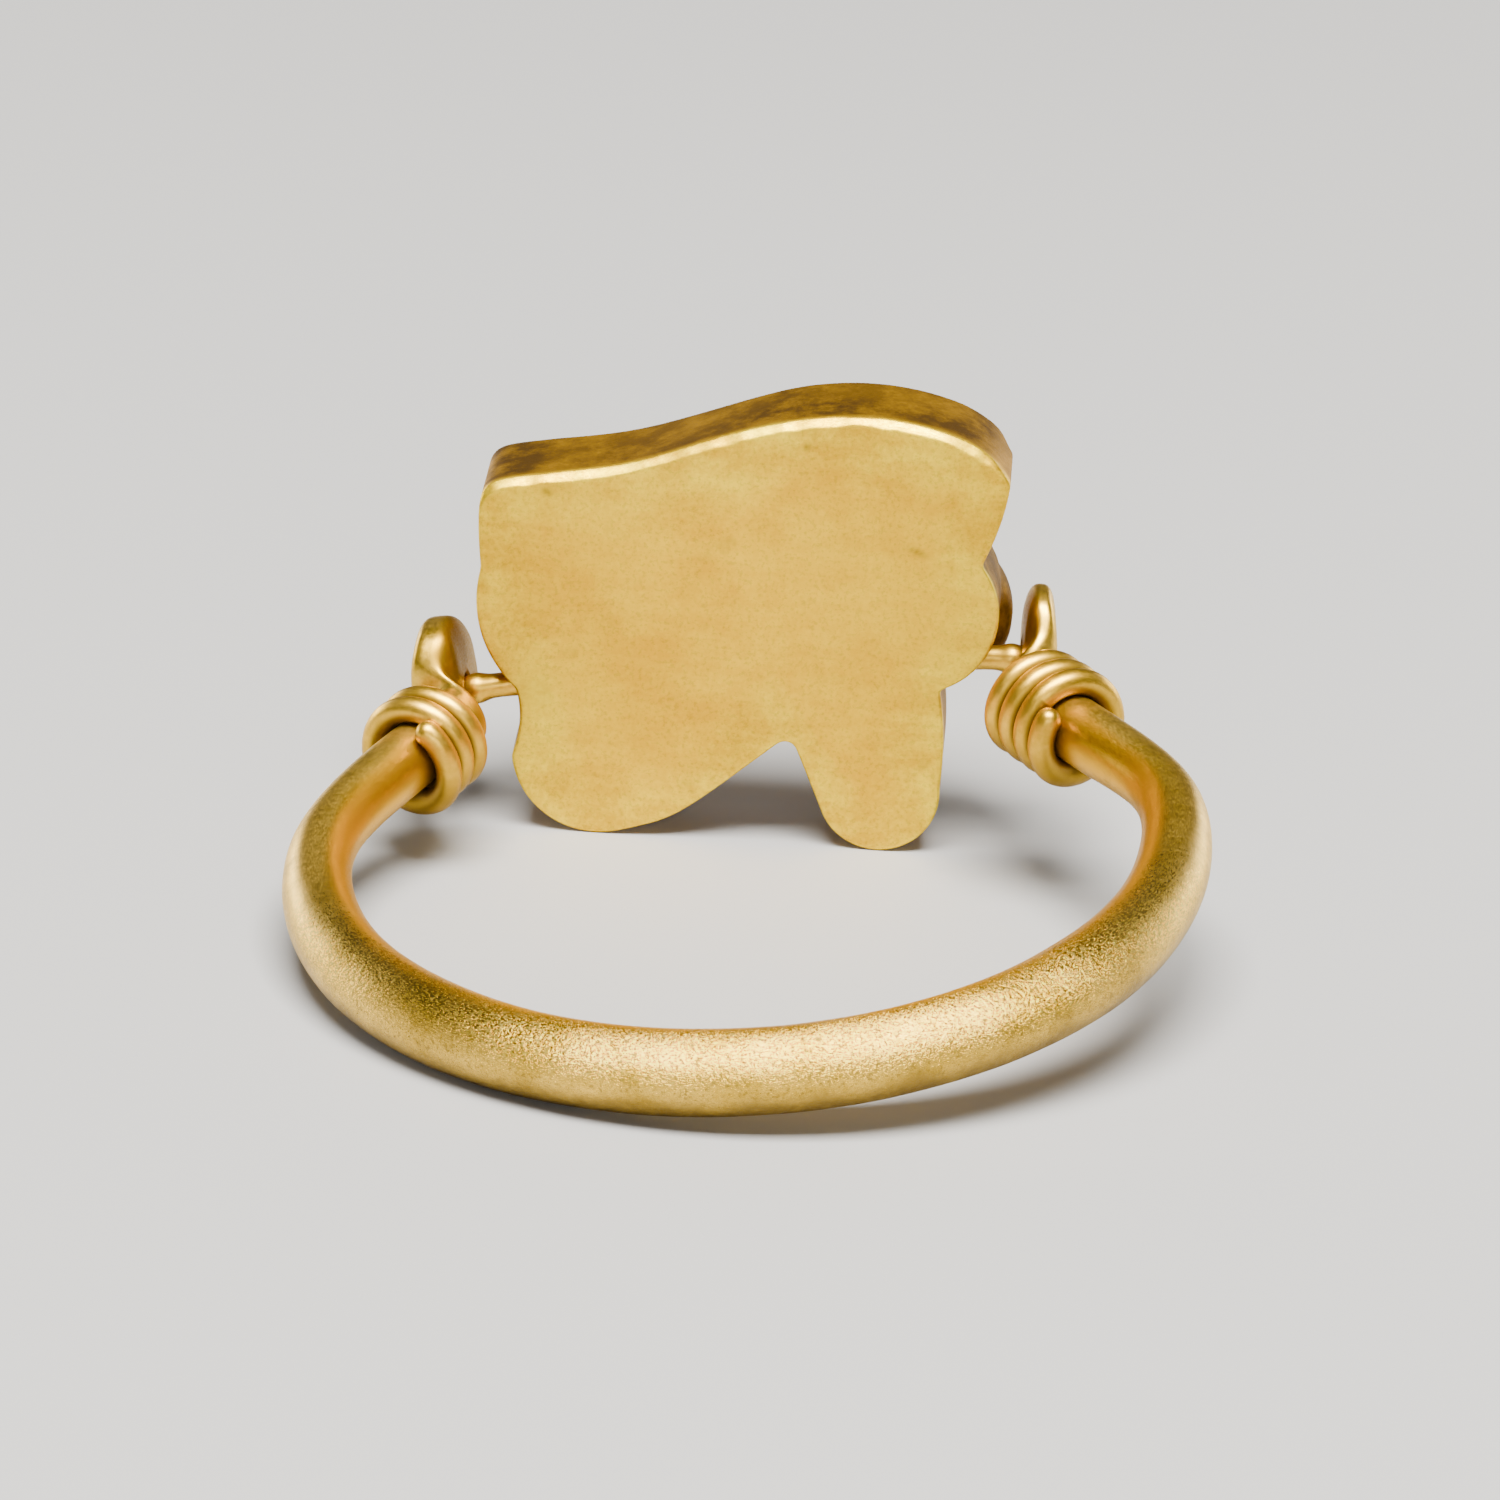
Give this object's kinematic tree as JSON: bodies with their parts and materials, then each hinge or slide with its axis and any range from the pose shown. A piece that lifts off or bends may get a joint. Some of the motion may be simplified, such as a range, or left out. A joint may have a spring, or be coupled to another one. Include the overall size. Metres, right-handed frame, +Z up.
{
  "type": "swivel ring",
  "caption": "Gold swivel ring: a thick bezel in the outline of a traditional eye amulet turns on a wire wound round the necks of a heavy round hoop.",
  "frame": {"origin": "centre of the bottom of the bounding box of the ring as it stands by itself on a level surface", "axes": "+Z up, +Y from the foot of the hoop to the raised face of the bezel, +X to the right seen from the bezel's flat back"},
  "size_m": [0.0238, 0.0248, 0.012],
  "materials": {
    "gold_hoop": "brushed",
    "gold_wire": "polished",
    "gold_bezel": "satin"
  },
  "bodies": {
    "hoop": {"hoop": "gold_hoop", "pivot_wire": "gold_wire"},
    "bezel": {"bezel": "gold_bezel"}
  },
  "joints": [
    {"name": "bezel_swivel", "type": "hinge", "parent": "hoop", "child": "bezel", "pos_m": [-0.00015, 0.00975, 0.00441], "axis": [0.9946, 0, 0.1042], "range_deg": [-148, 32]}
  ]
}
